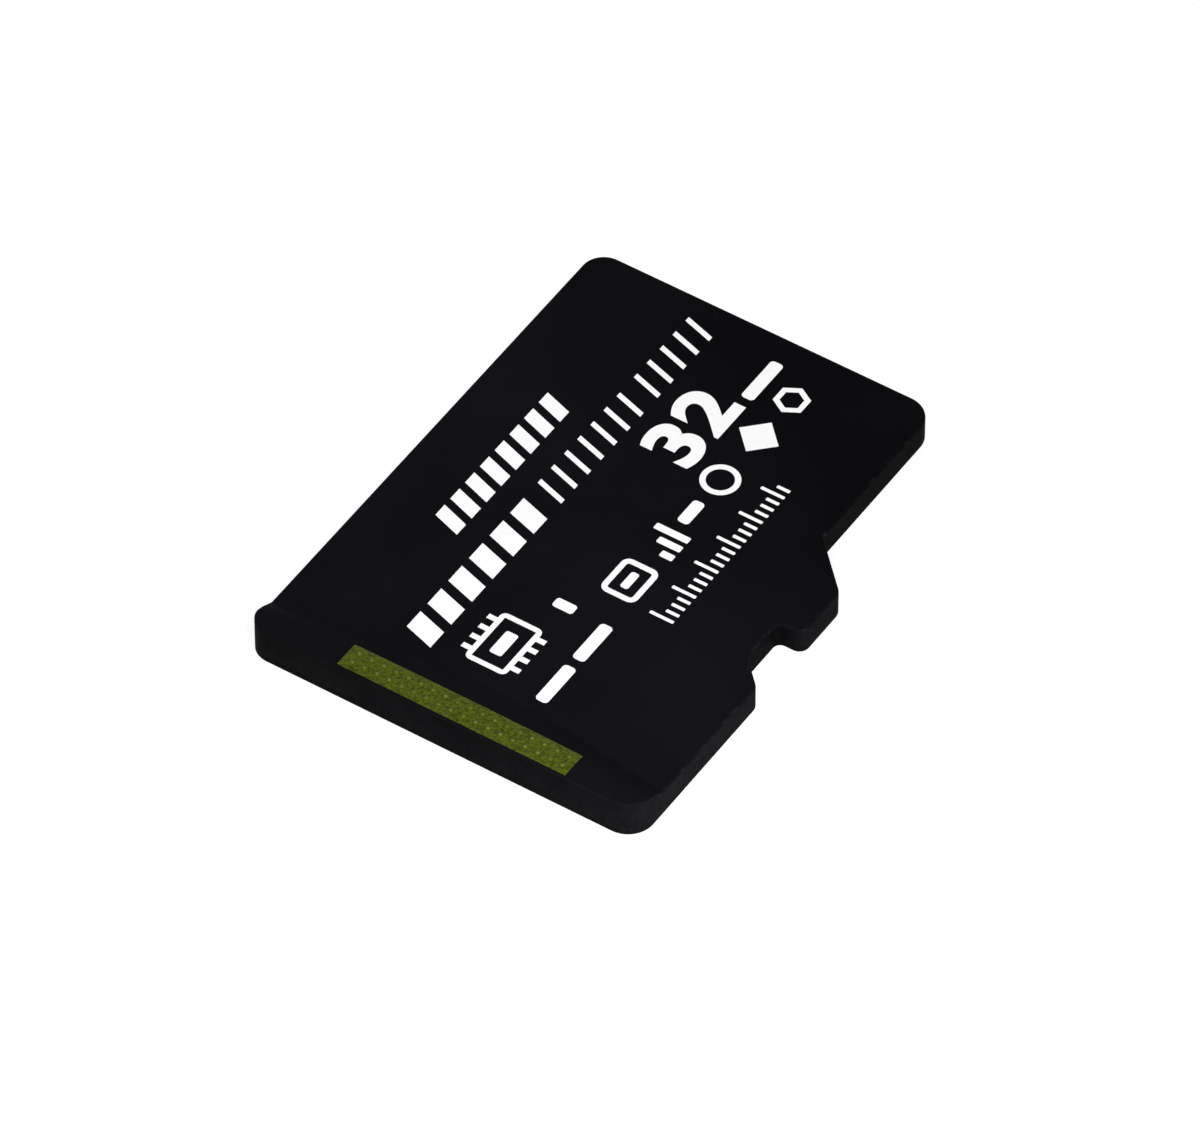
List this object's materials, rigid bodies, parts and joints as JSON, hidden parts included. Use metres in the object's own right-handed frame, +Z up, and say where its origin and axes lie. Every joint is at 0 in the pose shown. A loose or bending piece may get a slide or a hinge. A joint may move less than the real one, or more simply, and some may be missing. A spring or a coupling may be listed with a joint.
{
  "type": "memory card",
  "caption": "Small flash memory card: black moulded body with a stepped and notched side, a raised finger lip at the rear end and gold contacts underneath.",
  "frame": {"origin": "under the middle of the card's length and width, on its underside", "axes": "+Z up through the label face, +Y towards the contact end, +X towards the notched side"},
  "size_m": [0.011, 0.015, 0.001],
  "materials": {
    "moulded_epoxy": "fine matte moulded epoxy",
    "board_mask": "satin black solder mask",
    "contact_gold": "thin gold plating",
    "silicon": "polished silicon",
    "attach_film": "adhesive film",
    "capacitor_ceramic": "fired ceramic with tinned ends",
    "resistor_ceramic": "glazed ceramic with tinned ends",
    "bond_wire_gold": "drawn gold wire",
    "label_ink": "white pad-printed ink",
    "strip_ink": "olive ink with a fine raised texture"
  },
  "bodies": {
    "root": {"moulded_body": "moulded_epoxy", "substrate_board": "board_mask", "contact_pad_1": "contact_gold", "contact_pad_2": "contact_gold", "contact_pad_3": "contact_gold", "contact_pad_4": "contact_gold", "contact_pad_5": "contact_gold", "contact_pad_6": "contact_gold", "contact_pad_7": "contact_gold", "contact_pad_8": "contact_gold", "memory_die_lower": "silicon", "memory_die_upper": "silicon", "lower_attach_film": "attach_film", "upper_attach_film": "attach_film", "controller_die": "silicon", "controller_attach_film": "attach_film", "capacitor_1": "capacitor_ceramic", "capacitor_2": "capacitor_ceramic", "capacitor_3": "capacitor_ceramic", "capacitor_4": "capacitor_ceramic", "resistor_1": "resistor_ceramic", "resistor_2": "resistor_ceramic", "memory_bond_wires": "bond_wire_gold", "controller_bond_wires": "bond_wire_gold"}
  },
  "joints": []
}
